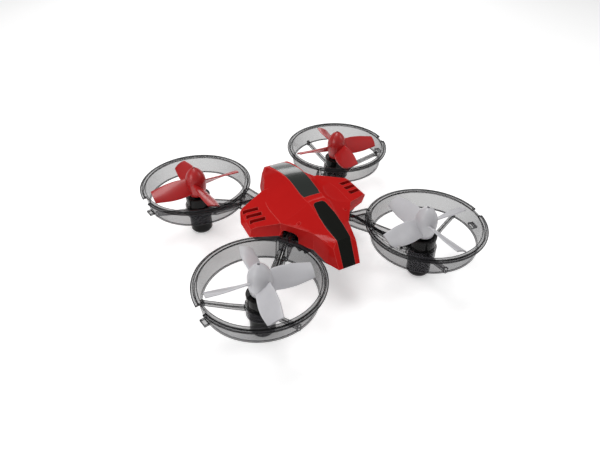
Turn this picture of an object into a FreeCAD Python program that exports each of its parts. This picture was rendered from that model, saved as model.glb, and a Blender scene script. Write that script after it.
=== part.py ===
"""Palm-sized four-rotor drone with ducted propellers.

Frame: +Z up, nose towards -Y, origin on the ground under the middle of the four rotors.
The drone stands on the flat feet of its four motor pods.  All sizes are in millimetres.
"""
import FreeCAD
import Part
import math
import os
from FreeCAD import Vector

os.makedirs("parts", exist_ok=True)

# ---------------------------------------------------------------- driving dimensions
# rotor layout: half the distance between rotor axes, across and along
ROTOR_X = 33.6
ROTOR_Y = 32.8
# heights above the ground
RIM_Z = 24.3            # top of the duct rims
CANOPY_Z = 17.2         # lower edge of the canopy, top edge of the chassis tray

# duct ring
RING_R = 22.5           # outside of the rim flange
RIM_W = 2.2             # rim width, flange and wall together
FLANGE_T = 0.95
STEP_W = 0.95           # outer strip of the flange, lower than the bead inside it
STEP_H = 0.35
DUCT_H = 7.6            # depth of the ring wall
WALL_T = 0.75
DUCT_TAPER = 1.0        # how much the wall draws in towards its lower edge
NOTCH_W = 4.5           # gap in the flange for an accessory clip
TAB_W = 3.3
TAB_T = 0.8
TAB_OUT = 1.9           # how far the clip tab stands out of the wall

# motor: 7 mm coreless
MOTOR_R = 3.5
MOTOR_L = 15.0
CAP_T = 0.9
CAP_STEP = 0.2          # end bell smaller than the can, all round
BOSS_R = 1.5
BOSS_H = 0.7
SHAFT_R = 0.5
RUN_GAP = 0.05          # radial clearance of everything that turns or slides
MOTOR_TOP_DROP = 7.4    # top of the can below the rim

# motor pod
POD_AIR = 0.45          # space between motor and pod wall, bridged by ribs
POD_TOP_DROP = 6.3      # pod mouth below the rim
POD_WALL = 0.9
POD_FLARE = 0.25        # how much wider the pod's mouth is
FOOT_INSET = 2.25       # the flat foot's edge, in from the pod's outside
PEG_STEP = 0.25         # the pod's lower part is this much smaller, as a peg for accessories
PEG_TOP = 8.3           # height of that step
GROOVE_WALL = 0.25      # left outside the groove that the leads run in
DOME_H = 1.5
FIT_GAP = 0.05          # clearance between parts that are pushed together
COLLAR_T = 0.7

# propeller
TIP_GAP = 0.9           # blade tip to duct wall
BLADES = 4
HUB_R = 4.25
HUB_FOOT_R = 3.5
HUB_BOTTOM_DROP = 5.6
HUB_TOP_RISE = 6.6
BLADE_T = 0.7
BLADE_MID_DROP = 1.5    # mid height of the blades below the rim
ROOT_CHORD = 8.2
MID_CHORD = 8.0
TIP_CHORD = 5.4
ROOT_PITCH = 46.0       # degrees
MID_PITCH = 36.0
TIP_PITCH = 26.0

# arms and spokes of each duct
SPOKE_W = 1.2
SPOKE_H = 1.7
SPOKE_POD_DROP = 12.1   # middle of a spoke below the rim, where it meets the pod
CHANNEL_W = 3.5
CHANNEL_WALL = 0.7
CHANNEL_FOOT_DROP = 15.0        # channel's underside at the pod, below the rim
CHANNEL_KNEE_DROP = 13.9        # its underside at the knee
CHANNEL_KNEE = 0.26             # place of the knee along the channel
CHANNEL_CREST_DROP = 7.5        # top of its side walls at the crest
CHANNEL_CREST = 0.558
CHANNEL_END_DROP = 8.6          # top of its side walls at the pod
SLEEVE_DROP = 10.9      # top of the pod collar below the rim
SLEEVE_H = 4.4
RIB_T = 0.8
RIB_SPREAD = 0.3        # how much wider than the channel the side plates stand
SEAT_GAP = 1.2          # tongue's end to the battery
SCREW_INSET = 2.5       # tongue's screw from its end
TONGUE_T = 1.2
TONGUE_L = 4.35
ARM_RISE_L = 4.85       # length over which the arm's top rises from its inner end
ARM_TOP_OUT = 4.1       # top of the arm above the canopy's lower edge, where it goes in
ARM_TOP_IN = 2.7        # and at its inner end
PEG_R = 0.6

# leads and their plugs under the board
LEAD_R = 0.34
LEAD_GAP = 0.45         # half the spacing of a pair of leads
LEAD_AIR = 0.1          # lead to motor can
LEAD_RISE = 1.6         # middle of a lead above the underside of the channel's knee
PLUG = (3.4, 3.2, 2.8)
PLUG_GAP = 0.1          # plug to the battery below it
PLUG_AIR = 0.15         # plug to the canopy

# canopy
SHELL_T = 1.0
NOSE_Y = -34.5
TAIL_Y = 27.0
WING_X = 24.8
VENT_W = 1.9
VENT_L = 6.0
VENT_PITCH = 3.45
VENTS = 3
ARCH_W = 7.2            # cut-out where an arm comes out
ARCH_H = 4.9
ARCH_CORNER = 2.2

# chassis tray
TRAY_DEPTH = 2.9
TRAY_FLOOR = 1.0
TRAY_WALL = 0.9
RAIL_H = 1.4
RAIL_LIP = 0.9

# battery and its door
BATTERY_W = 14.0
BATTERY_L = 28.0
BATTERY_H = 5.6
BATTERY_GAP = 0.4
DOOR_T = 0.8
DOOR_LAP = 1.2          # how far the door laps over the edge of the bay
STOP_T = 0.95

# circuit board
BOARD_L = 25.0
BOARD_T = 1.0
BOARD_RISE = 6.0        # underside of the board above the canopy's lower edge
BOARD_EDGE = 1.0        # post axis to the board's edge
POST_R = 1.0
POST_PLUG_GAP = 0.87    # post to a motor plug
POST_GAP = 0.2          # post to battery
SCREW_R = 0.5
SCREW_HEAD_R = 0.95
SCREW_HEAD_H = 0.6
SCREW_L = 3.0           # shank below the head

# power button
BUTTON_GAP = 1.35       # hole of the button to the door's stop
BUTTON_R = 2.0
BUTTON_TRAVEL = 0.6

# ---------------------------------------------------------------- worked out
POD_BOTTOM = 0.0
POD_R = MOTOR_R + POD_AIR + POD_WALL
POD_TOP_R = POD_R + POD_FLARE
POD_PEG_R = POD_R - PEG_STEP
GROOVE_R = POD_PEG_R - GROOVE_WALL      # how far out the leads' groove in the pod goes
WALL_R_TOP = RING_R - RIM_W             # inside of the ring at the rim
WALL_R_BOTTOM = WALL_R_TOP - DUCT_TAPER
RING_BOTTOM = RIM_Z - DUCT_H
PROP_R = WALL_R_BOTTOM + 0.1 - TIP_GAP
ARM_R_IN = POD_R + FIT_GAP + COLLAR_T / 2           # the duct's arms start in the collar
ARM_R_OUT = WALL_R_BOTTOM + WALL_T / 2              # and end in the ring wall
KNEE_R = ARM_R_IN + (ARM_R_OUT - ARM_R_IN) * CHANNEL_KNEE
REACH = math.hypot(ROTOR_X, ROTOR_Y)    # rotor axis to the middle of the drone
ARM_COS = ROTOR_X / REACH
ARM_SIN = ROTOR_Y / REACH
RIB_Y = (CHANNEL_W - RIB_T) / 2 + RIB_SPREAD        # middle of a side plate
SEAT_D = (BATTERY_W / 2 + SEAT_GAP + (RIB_Y + RIB_T / 2) * ARM_SIN) / ARM_COS
SCREW_D = SEAT_D + SCREW_INSET          # these three are distances from the drone's middle
PLUG_D = PLUG[0] + (BATTERY_W / 2 + PLUG_GAP + PLUG[1] / 2 * ARM_SIN) / ARM_COS
MOTOR_TOP = RIM_Z - MOTOR_TOP_DROP
MOTOR_BOTTOM = MOTOR_TOP - MOTOR_L
POD_TOP = RIM_Z - POD_TOP_DROP
TRAY_TOP = CANOPY_Z
TRAY_BOTTOM = TRAY_TOP - TRAY_DEPTH
FLOOR_TOP = TRAY_BOTTOM + TRAY_FLOOR
BATTERY_Z = FLOOR_TOP + 0.1
BOARD_Z = CANOPY_Z + BOARD_RISE
BOARD_TOP = BOARD_Z + BOARD_T
POST_X = BATTERY_W / 2 + POST_GAP + POST_R
POST_Y = (PLUG_D - PLUG[0]) * ARM_SIN - PLUG[1] / 2 * ARM_COS - POST_R - POST_PLUG_GAP
BOARD_W = 2 * (POST_X + BOARD_EDGE)
TONGUE_Z = CANOPY_Z + 0.1               # the tongues lie on bosses of the tray
BAY_X = BATTERY_W / 2 + BATTERY_GAP     # half the battery bay
BAY_Y = BATTERY_L / 2 + BATTERY_GAP
DOOR_X = BAY_X + DOOR_LAP
STOP_Y = -BAY_Y - DOOR_LAP - RUN_GAP - STOP_T
BUTTON_Y = STOP_Y - BUTTON_GAP - BUTTON_R - RUN_GAP

# corner name -> (side, end, rotor turns counter-clockwise, azimuth of a blade)
CORNERS = {
    "front_left": (-1, -1, True, -8.0),
    "front_right": (1, -1, False, 5.0),
    "rear_left": (-1, 1, False, 4.0),
    "rear_right": (1, 1, True, -8.0),
}
NOTCH_AZIMUTH = {-1: -170.0, 1: -10.0}


# ---------------------------------------------------------------- helpers
def cylinder(radius, z_low, z_high, x=0.0, y=0.0):
    return Part.makeCylinder(radius, z_high - z_low, Vector(x, y, z_low))


def block(x_low, x_high, y_low, y_high, z_low, z_high):
    size = (x_high - x_low, y_high - y_low, z_high - z_low)
    return Part.makeBox(*size, Vector(x_low, y_low, z_low))


def lathe(profile):
    """Turn a closed outline of (radius, height) points about the Z axis."""
    points = [Vector(r, 0, z) for r, z in profile]
    face = Part.Face(Part.makePolygon(points + points[:1]))
    return face.revolve(Vector(0, 0, 0), Vector(0, 0, 1), 360)


def side_plate(outline, y_middle, thickness):
    """A plate that stands along X: outline is (x, z) points."""
    points = [Vector(x, y_middle - thickness / 2, z) for x, z in outline]
    face = Part.Face(Part.makePolygon(points + points[:1]))
    return face.extrude(Vector(0, thickness, 0))


def plan_plate(outline, z_low, z_high):
    """A plate that lies flat: outline is (x, y) points."""
    points = [Vector(x, y, z_low) for x, y in outline]
    face = Part.Face(Part.makePolygon(points + points[:1]))
    return face.extrude(Vector(0, 0, z_high - z_low))


def both_sides(outline):
    """Close a right-hand outline of (x, y) points with its mirror image."""
    return outline + [(-x, y) for x, y in reversed(outline)]


def fuse(shapes):
    return shapes[0].multiFuse(shapes[1:]).removeSplitter()


def cut(shape, tools):
    for tool in tools:
        shape = shape.cut(tool)
    return shape


def turned(shape, angle):
    copy = shape.copy()
    copy.rotate(Vector(0, 0, 0), Vector(0, 0, 1), angle)
    return copy


def moved(shape, x, y, z=0.0):
    copy = shape.copy()
    copy.translate(Vector(x, y, z))
    return copy


def at_corner(shape, side, end, angle=0.0):
    """Turn a shape that is modelled on the origin and put it on a rotor axis."""
    return moved(turned(shape, angle), side * ROTOR_X, end * ROTOR_Y)


def inward(side, end):
    """Azimuth from a rotor axis towards the middle of the drone."""
    return math.degrees(math.atan2(-end * ROTOR_Y, -side * ROTOR_X))


def tube(route, radius, bend):
    """A round lead along straight runs joined by tangent arcs.

    route is a list of points, bend the radius of each inner point's arc."""
    edges = []
    start = Vector(*route[0])
    for before, corner, after, arc_r in zip(route, route[1:], route[2:], bend):
        corner = Vector(*corner)
        back = (Vector(*before) - corner).normalize()
        ahead = (Vector(*after) - corner).normalize()
        half = back.getAngle(ahead) / 2
        reach = arc_r / math.tan(half)
        first = corner + back * reach
        last = corner + ahead * reach
        middle_way = (back + ahead).normalize()
        middle = corner + middle_way * (arc_r / math.sin(half) - arc_r)
        edges.append(Part.LineSegment(start, first).toShape())
        edges.append(Part.Arc(first, middle, last).toShape())
        start = last
    edges.append(Part.LineSegment(start, Vector(*route[-1])).toShape())
    heading = edges[0].tangentAt(edges[0].FirstParameter)
    section = Part.Wire(Part.makeCircle(radius, Vector(*route[0]), heading))
    return Part.Wire(edges).makePipeShell([section], True, True)


def save(name, shape):
    shape.exportStep("parts/" + name + ".step")
    count = len(shape.Solids)
    print(name, "solids", count, "volume", round(shape.Volume, 1), "valid", shape.isValid())


# ---------------------------------------------------------------- ducts
def wall_outer(z):
    """Outside radius of the ring wall at a height."""
    share = (z - RING_BOTTOM) / (DUCT_H - FLANGE_T)
    return WALL_R_BOTTOM + WALL_T + DUCT_TAPER * share


def ring():
    flange_z = RIM_Z - FLANGE_T
    bead_r = RING_R - STEP_W
    return lathe([
        (WALL_R_TOP, RIM_Z),
        (bead_r, RIM_Z),
        (bead_r, RIM_Z - STEP_H),
        (RING_R, RIM_Z - STEP_H),
        (RING_R, flange_z),
        (wall_outer(flange_z), flange_z),
        (wall_outer(RING_BOTTOM), RING_BOTTOM),
        (WALL_R_BOTTOM, RING_BOTTOM),
    ])


def clip_notch():
    """The gap in the flange and the tab below it, on local +X."""
    gap = block(wall_outer(RIM_Z - FLANGE_T), RING_R + 1, -NOTCH_W / 2, NOTCH_W / 2,
                RIM_Z - FLANGE_T - 0.1, RIM_Z + 0.1)
    tab_z = RING_BOTTOM + 0.7
    tab_r = wall_outer(tab_z)
    tab = block(tab_r - WALL_T / 2, tab_r + TAB_OUT, -TAB_W / 2, TAB_W / 2, tab_z, tab_z + TAB_T)
    return gap, tab


def spoke():
    """A slanted strut from the pod collar to the lower edge of the ring, on local +X."""
    pod_z = RIM_Z - SPOKE_POD_DROP
    end_z = RING_BOTTOM + SPOKE_H / 2
    r_in, r_out = ARM_R_IN, ARM_R_OUT
    knee = r_in + (r_out - r_in) * 0.35
    knee_z = pod_z + (end_z - pod_z) * 0.3
    half = SPOKE_H / 2
    bar = side_plate([(r_in, pod_z + half), (knee, knee_z + half), (r_out, end_z + half - 0.1),
                      (r_out, end_z - half), (knee, knee_z - half), (r_in, pod_z - half * 1.3)],
                     0.0, SPOKE_W)
    peg = cylinder(PEG_R, RING_BOTTOM - 0.5, RING_BOTTOM + SPOKE_H, r_out - WALL_T / 2)
    return fuse([bar, peg])


def channel():
    """The deep open-topped channel that carries the motor leads, on local +X."""
    r_in, r_out = ARM_R_IN, ARM_R_OUT
    crest_x = r_in + (r_out - r_in) * CHANNEL_CREST
    lower = [(r_in, RIM_Z - CHANNEL_FOOT_DROP), (KNEE_R, RIM_Z - CHANNEL_KNEE_DROP),
             (r_out, RING_BOTTOM - 0.7)]
    upper = [(r_out, RING_BOTTOM + 1.7), (crest_x, RIM_Z - CHANNEL_CREST_DROP),
             (r_in, RIM_Z - CHANNEL_END_DROP)]
    wall_y = (CHANNEL_W - CHANNEL_WALL) / 2
    walls = [side_plate(lower + upper, y, CHANNEL_WALL) for y in (-wall_y, wall_y)]
    raised = [(x, z + CHANNEL_WALL) for x, z in reversed(lower)]
    floor = side_plate(lower + raised, 0.0, CHANNEL_W - CHANNEL_WALL)
    return fuse(walls + [floor])


def bracket_plates():
    """Two ribs on the ring that run on as the side plates of the arm to the body."""
    start = WALL_R_BOTTOM + WALL_T / 2
    end = REACH - SEAT_D
    outline = [
        (start, RIM_Z - DUCT_H * 0.6),
        (WALL_R_TOP + WALL_T / 2, RIM_Z),
        (RING_R + 0.4, RIM_Z),
        (end - ARM_RISE_L, CANOPY_Z + ARM_TOP_OUT),
        (end, CANOPY_Z + ARM_TOP_IN),
        (end, TONGUE_Z),
        (RING_R + 5.2, TONGUE_Z),
        (RING_R + 2.4, TONGUE_Z - 0.7),
        (WALL_R_BOTTOM + WALL_T, RING_BOTTOM - 0.9),
        (start, RING_BOTTOM - 0.9),
    ]
    plates = [side_plate(outline, y, RIB_T) for y in (-RIB_Y, RIB_Y)]
    reach_y = RIB_Y + RIB_T / 2
    tongue = block(end - TONGUE_L, end, -reach_y, reach_y, TONGUE_Z, TONGUE_Z + TONGUE_T)
    tongue = tongue.cut(cylinder(SCREW_R + FIT_GAP, TONGUE_Z - 1, TONGUE_Z + 3, REACH - SCREW_D))
    arch_r = RIB_Y - RIB_T / 2
    arch_z = RING_BOTTOM + DUCT_H / 2 - arch_r
    arch = fuse([
        block(WALL_R_BOTTOM - 1, RING_R - 0.6, -arch_r, arch_r, RING_BOTTOM - 1, arch_z),
        Part.makeCylinder(arch_r, RIM_W, Vector(WALL_R_BOTTOM - 0.4, 0, arch_z), Vector(1, 0, 0)),
    ])
    return plates + [tongue], arch


def duct(notch_angle):
    """One smoke-clear moulding: ring, three arms, pod collar and the arm to the body."""
    body_arm, arch = bracket_plates()
    gap, tab = clip_notch()
    collar_r = POD_R + FIT_GAP
    sleeve_top = RIM_Z - SLEEVE_DROP
    sleeve = cylinder(collar_r + COLLAR_T, sleeve_top - SLEEVE_H, sleeve_top)
    wall = ring().cut(turned(gap, notch_angle))
    wall = wall.cut(arch)
    arms = [turned(spoke(), 120), turned(spoke(), -120), channel()]
    shape = fuse([wall, sleeve, turned(tab, notch_angle)] + arms + body_arm)
    bore = cylinder(collar_r, 0, RIM_Z)
    half = CHANNEL_W / 2 - CHANNEL_WALL
    window = block(0, POD_R + 3, -half, half, RIM_Z - CHANNEL_FOOT_DROP + 0.8, RIM_Z - 9)
    return cut(shape, [bore, window])


def pod():
    """Cup that holds one motor; its flat foot stands on the ground."""
    taper_z = POD_TOP - 3.0
    outside = lathe([(0, POD_BOTTOM), (POD_R - FOOT_INSET, POD_BOTTOM), (POD_R - 0.9, 0.45),
                     (POD_PEG_R, DOME_H), (POD_PEG_R, PEG_TOP), (POD_R, PEG_TOP + PEG_STEP),
                     (POD_R, taper_z - 1.7), (POD_TOP_R - 0.1, taper_z + 0.6),
                     (POD_TOP_R, POD_TOP), (0, POD_TOP)])
    inner_r = POD_R - POD_WALL
    floor_z = MOTOR_BOTTOM - CAP_T
    shape = outside.cut(cylinder(inner_r, floor_z, POD_TOP + 1))
    rib_in = MOTOR_R + FIT_GAP
    ribs = [turned(block(rib_in, inner_r + 0.2, -0.4, 0.4, floor_z - 0.1, MOTOR_TOP), angle)
            for angle in (60, 120, 180, 240, 300)]
    shape = fuse([shape] + ribs)
    shape = shape.cut(cylinder(rib_in, floor_z, POD_TOP))
    slot_top = RIM_Z - SLEEVE_DROP - 0.6
    slot_bottom = RIM_Z - CHANNEL_FOOT_DROP - 0.4
    groove = block(MOTOR_R - 0.2, POD_R, -1.0, 1.0, floor_z, slot_top)
    groove = groove.common(cylinder(GROOVE_R, floor_z, slot_top))
    window = block(MOTOR_R, POD_TOP_R + 1, -1.0, 1.0, slot_bottom, slot_top)
    return cut(shape, [groove, window])


# ---------------------------------------------------------------- motors, shafts, propellers
def motor_can():
    can = cylinder(MOTOR_R, MOTOR_BOTTOM, MOTOR_TOP)
    can = can.makeFillet(0.35, [e for e in can.Edges if abs(e.BoundBox.ZMin - MOTOR_TOP) < 1e-6])
    boss = cylinder(BOSS_R, MOTOR_TOP - 0.1, MOTOR_TOP + BOSS_H)
    shape = fuse([can, boss])
    return shape.cut(cylinder(SHAFT_R + RUN_GAP, MOTOR_BOTTOM + 2, RIM_Z))


def end_bell():
    """Plastic cap on the lead end of the motor, with a lug the leads stand on."""
    cap = cylinder(MOTOR_R - CAP_STEP, MOTOR_BOTTOM - CAP_T, MOTOR_BOTTOM)
    lug_top = MOTOR_BOTTOM - CAP_T / 2
    lug = block(0, POD_R, -0.95, 0.95, MOTOR_BOTTOM - CAP_T, lug_top)
    lug = lug.common(cylinder(GROOVE_R - FIT_GAP, MOTOR_BOTTOM - CAP_T, lug_top))
    return fuse([cap, lug])


def shaft():
    top = RIM_Z + HUB_TOP_RISE - 1.0
    return cylinder(SHAFT_R, MOTOR_BOTTOM + 2.5, top)


def blade_section(radius, chord, pitch, hand):
    """Thin curved section of a blade in the plane across local +X."""
    thin = 0.22
    rise = chord * 0.07
    half = chord / 2
    mid_z = RIM_Z - BLADE_MID_DROP
    outline = [(-half, -thin / 2), (0, rise - BLADE_T / 2), (half, -thin / 2),
               (half, thin / 2), (0, rise + BLADE_T / 2), (-half, thin / 2)]
    lean = math.radians(pitch)
    points = []
    for along, up in outline:
        y = along * math.cos(lean) - up * math.sin(lean)
        z = along * math.sin(lean) + up * math.cos(lean)
        points.append(Vector(radius, hand * y, mid_z + z))
    low = Part.Arc(points[0], points[1], points[2]).toShape()
    front = Part.LineSegment(points[2], points[3]).toShape()
    high = Part.Arc(points[3], points[4], points[5]).toShape()
    back = Part.LineSegment(points[5], points[0]).toShape()
    return Part.Wire([low, front, high, back])


def propeller(counter_clockwise):
    hand = 1 if counter_clockwise else -1
    stations = [
        (HUB_R * 0.55, ROOT_CHORD * 0.86, ROOT_PITCH + 2),
        (PROP_R * 0.42, ROOT_CHORD, (ROOT_PITCH + MID_PITCH) / 2),
        (PROP_R * 0.66, MID_CHORD, MID_PITCH - 2),
        (PROP_R + 1.0, TIP_CHORD, TIP_PITCH),
    ]
    wires = [blade_section(r, chord, pitch, hand) for r, chord, pitch in stations]
    blade = Part.makeLoft(wires, True, False)
    blade = blade.common(cylinder(PROP_R, 0, 2 * RIM_Z))
    low = RIM_Z - HUB_BOTTOM_DROP
    top = RIM_Z + HUB_TOP_RISE
    nose = Part.BSplineCurve()
    nose.interpolate([Vector(HUB_FOOT_R, 0, low), Vector(HUB_R, 0, low + 5.4),
                      Vector(HUB_R * 0.76, 0, low + 9.6), Vector(SHAFT_R, 0, top)])
    outline = Part.Wire([
        nose.toShape(),
        Part.makeLine(Vector(SHAFT_R, 0, top), Vector(SHAFT_R, 0, low)),
        Part.makeLine(Vector(SHAFT_R, 0, low), Vector(HUB_FOOT_R, 0, low)),
    ])
    hub = Part.Face(outline).revolve(Vector(0, 0, 0), Vector(0, 0, 1), 360)
    shape = fuse([hub] + [turned(blade, index * 360 / BLADES) for index in range(BLADES)])
    pocket = lathe([(1.5, low - 1), (HUB_FOOT_R - 0.8, low - 1), (HUB_FOOT_R - 0.8, low + 3),
                    (1.5, low + 3)])
    return cut(shape, [pocket, cylinder(SHAFT_R, 0, 2 * RIM_Z)])


def motor_leads():
    """Pair of leads from the end bell, up the pod and along the arm to its plug."""
    start_z = MOTOR_BOTTOM - CAP_T / 2
    run_r = MOTOR_R + LEAD_AIR + LEAD_R
    knee_z = RIM_Z - CHANNEL_KNEE_DROP + LEAD_RISE
    plug_r = REACH - PLUG_D
    plug_z = BOARD_Z - PLUG[2] * 0.75
    leads = []
    for y in (-LEAD_GAP, LEAD_GAP):
        route = [(run_r, y, start_z), (run_r, y, knee_z - 0.6), (KNEE_R, y, knee_z),
                 (WALL_R_BOTTOM + 0.3, y, RIM_Z - 6.8), (RING_R + 4.6, y, plug_z),
                 (plug_r, y, plug_z)]
        leads.append(tube(route, LEAD_R, (1.6, 8.0, 8.0, 5.0)))
    return Part.makeCompound(leads)


def motor_plug(grow=0.0):
    start = REACH - PLUG_D
    length, width, height = PLUG
    half = width / 2 + grow
    return block(start - grow, start + length, -half, half, BOARD_Z - height, BOARD_Z + grow)


# ---------------------------------------------------------------- canopy
WAIST_X = BATTERY_W / 2 + 8.2           # half width over the battery and the arms' ends
# Stations of the canopy's body along Y, with heights above its lower edge.  Each has the half
# width and height of the flat back, of the shoulder that the hollow side meets, and the half
# width of the foot.  Pull is how far the side hangs in towards the back, 0.5 being straight.
NOSE_STATIONS = [
    # y, back half width, back height, shoulder half width, shoulder height, foot half width, pull
    (NOSE_Y, 2.5, 7.4, 3.5, 6.2, 4.3, 0.5),
    (-29.2, 2.8, 9.3, 5.1, 7.3, 6.4, 0.5),
    (-20.6, 3.2, 11.1, 7.5, 8.0, 7.0, 0.5),
    (-9.6, 3.5, 13.6, WAIST_X, 7.9, WAIST_X - 0.8, 0.36),
]
REAR_STATIONS = [
    (-9.6, 3.5, 13.6, WAIST_X, 7.9, WAIST_X - 0.8, 0.36),
    (-2.0, 3.9, 13.8, WAIST_X, 7.8, WAIST_X - 0.4, 0.33),
    (5.6, 4.0, 14.65, WAIST_X - 0.8, 7.8, WAIST_X - 0.8, 0.33),
    (13.0, 4.3, 13.9, WAIST_X - 3.6, 7.7, WAIST_X - 2.9, 0.35),
    (20.5, 4.8, 11.9, 8.3, 7.4, 9.6, 0.40),
    (TAIL_Y, 5.3, 9.35, 6.4, 6.6, 7.7, 0.45),
]
NOSE_TIP = (-34.5, -0.1)
NOSE_BEND = (-29.4, 9.2)
PIP_R = 0.8
PIP = (9.6, -14.0)


def canopy_section(station, inset, floor):
    """Closed outline across the body at one station, drawn in by the wall's inset."""
    y, back_w, back_z, shoulder_w, shoulder_z, foot_w, pull = station
    bx = back_w - inset * 0.35
    bz = CANOPY_Z + back_z - inset
    sx = shoulder_w - inset
    sz = CANOPY_Z + shoulder_z - inset
    fx = foot_w - inset
    crown = 0.12
    pull_x = bx + (sx - bx) * pull
    pull_z = sz + (bz - sz) * (pull - 0.08 if pull < 0.5 else pull)
    right = Part.BezierCurve()
    right.setPoles([Vector(bx, y, bz - crown), Vector(pull_x, y, pull_z), Vector(sx, y, sz)])
    left = Part.BezierCurve()
    left.setPoles([Vector(-sx, y, sz), Vector(-pull_x, y, pull_z), Vector(-bx, y, bz - crown)])
    top = Part.Arc(Vector(-bx, y, bz - crown), Vector(0, y, bz), Vector(bx, y, bz - crown))
    return Part.Wire([
        top.toShape(),
        right.toShape(),
        Part.makeLine(Vector(sx, y, sz), Vector(fx, y, floor)),
        Part.makeLine(Vector(fx, y, floor), Vector(-fx, y, floor)),
        Part.makeLine(Vector(-fx, y, floor), Vector(-sx, y, sz)),
        left.toShape(),
    ])


WING_TOP = 7.85         # height of the wing's top at its root, above the canopy's lower edge
WING_ROOT_X = 14.0
WING_FALL = 0.165       # how much the wing's top drops per millimetre outwards
WING_BEVEL = 1.5


def wing(inset, floor):
    """The two shoulder boxes that carry the vents, as one block."""
    foot = both_sides([(2.0, -7.2 + inset), (14.6, -7.2 + inset),
                       (WING_X + 0.3 - inset, -2.9 + inset), (WING_X - inset, 6.7 - inset),
                       (13.2 - inset, 12.4 - inset), (2.0, 12.4 - inset)])
    crest = both_sides([(2.0, -10.0 + inset), (15.2, -10.0 + inset),
                        (WING_X + 0.2 - inset, -6.2 + inset), (WING_X - 0.4 - inset, 7.2 - inset),
                        (12.6 - inset, 12.6 - inset), (2.0, 12.6 - inset)])
    crest_z = CANOPY_Z + WING_TOP + 0.6
    wires = []
    for outline, z in ((foot, floor), (crest, crest_z)):
        points = [Vector(x, y, z) for x, y in outline]
        wires.append(Part.makePolygon(points + points[:1]))
    shape = Part.makeLoft(wires, True, True)
    root_z = CANOPY_Z + WING_TOP - inset
    tip_x = WING_X - WING_BEVEL - inset

    def top_z(x):
        return root_z - (x - WING_ROOT_X) * WING_FALL

    for side in (-1, 1):
        above = [(0, top_z(0)), (side * 30, top_z(30)), (side * 30, top_z(0) + 5), (0, top_z(0) + 5)]
        bevel = [(side * tip_x, top_z(tip_x)),
                 (side * (tip_x + 2 * WING_BEVEL), top_z(tip_x) - 1.6 * WING_BEVEL),
                 (side * (tip_x + 2 * WING_BEVEL), top_z(0)), (side * tip_x, top_z(0))]
        shape = cut(shape, [side_plate(above, 0.0, 80), side_plate(bevel, 0.0, 80)])
    return shape


def nose_cut(inset):
    """What is taken off ahead of the sloping face of the nose."""
    (tip_y, tip_z), (bend_y, bend_z) = NOSE_TIP, NOSE_BEND
    slope = (bend_z - tip_z) / (bend_y - tip_y)
    shift = inset * math.hypot(1, slope) / slope
    outline = [(tip_y + shift - 4 / slope, tip_z - 4), (bend_y + shift + 8 / slope, bend_z + 8),
               (tip_y - 20, bend_z + 8), (tip_y - 20, tip_z - 4)]
    points = [Vector(-20, y, CANOPY_Z + z) for y, z in outline]
    face = Part.Face(Part.makePolygon(points + points[:1]))
    return face.extrude(Vector(40, 0, 0))


def canopy_form(inset, floor):
    tail = REAR_STATIONS[-1]
    rear = REAR_STATIONS[:-1] + [(tail[0] - inset,) + tail[1:]]
    nose_wires = [canopy_section(station, inset, floor) for station in NOSE_STATIONS]
    rear_wires = [canopy_section(station, inset, floor) for station in rear]
    nose = Part.makeLoft(nose_wires, True, True)
    back = Part.makeLoft(rear_wires, True, False)
    shape = nose.multiFuse([back, wing(inset, floor)])
    return shape.cut(nose_cut(inset))


def vent_slots():
    tools = []
    for side in (-1, 1):
        for index in range(VENTS):
            slot = block(-VENT_L / 2, VENT_L / 2, -VENT_W / 2, VENT_W / 2, CANOPY_Z + 4.5, CANOPY_Z + 12)
            slot = turned(slot, side * 16.0)
            tools.append(moved(slot, side * 21.2, 4.4 - index * VENT_PITCH))
    return tools


def arm_arches():
    """Round-topped cut-outs in the canopy's sides where the four arms come out."""
    near, far = 10.5, 26.0
    top = CANOPY_Z + ARCH_H
    tools = []
    for side in (-1, 1):
        for end in (-1, 1):
            tool = block(near, far, -ARCH_W / 2, ARCH_W / 2, CANOPY_Z - 1, top)
            upper = [e for e in tool.Edges if e.BoundBox.ZMin > top - 1e-3 and e.BoundBox.XLength > 1]
            tool = tool.makeFillet(ARCH_CORNER, upper)
            tools.append(turned(tool, inward(-side, -end)))
    return tools


def plug_pockets():
    """Room in the canopy for the four motor plugs."""
    return [at_corner(motor_plug(PLUG_AIR), side, end, inward(side, end))
            for side in (-1, 1) for end in (-1, 1)]


def strip_zone(grow):
    """Plan area of the windscreen strip, from the nose to its round rear end."""
    right = [(2.45, NOSE_Y - 1), (2.6, -30.0), (3.25, -23.0), (3.2, -17.5), (2.4, -11.6),
             (1.5, -10.8)]
    grown = [(x + grow, y + (grow if y > -12 else 0)) for x, y in right]
    return plan_plate(both_sides(grown), CANOPY_Z - 3, CANOPY_Z + 20)


def panel_zone(grow):
    """Plan area of the spine panel, from behind the windscreen to the tail."""
    right = [(3.35, -5.8), (3.75, -3.4), (3.85, 22.0), (3.3, TAIL_Y - 0.9), (2.0, TAIL_Y - 0.4)]
    grown = []
    for x, y in right:
        grown.append((x + grow, y + (grow if y > 0 else -grow)))
    return plan_plate(both_sides(grown), CANOPY_Z - 3, CANOPY_Z + 20)


SKIN_T = 0.55           # thickness of the strip and the panel let into the canopy
SKIN_GAP = 0.04


def surface_z(shape, x, y):
    """Height of a shape's top surface at a place in plan."""
    probe = Part.makeLine(Vector(x, y, CANOPY_Z), Vector(x, y, CANOPY_Z + 30))
    return shape.common(probe).BoundBox.ZMax


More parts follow.
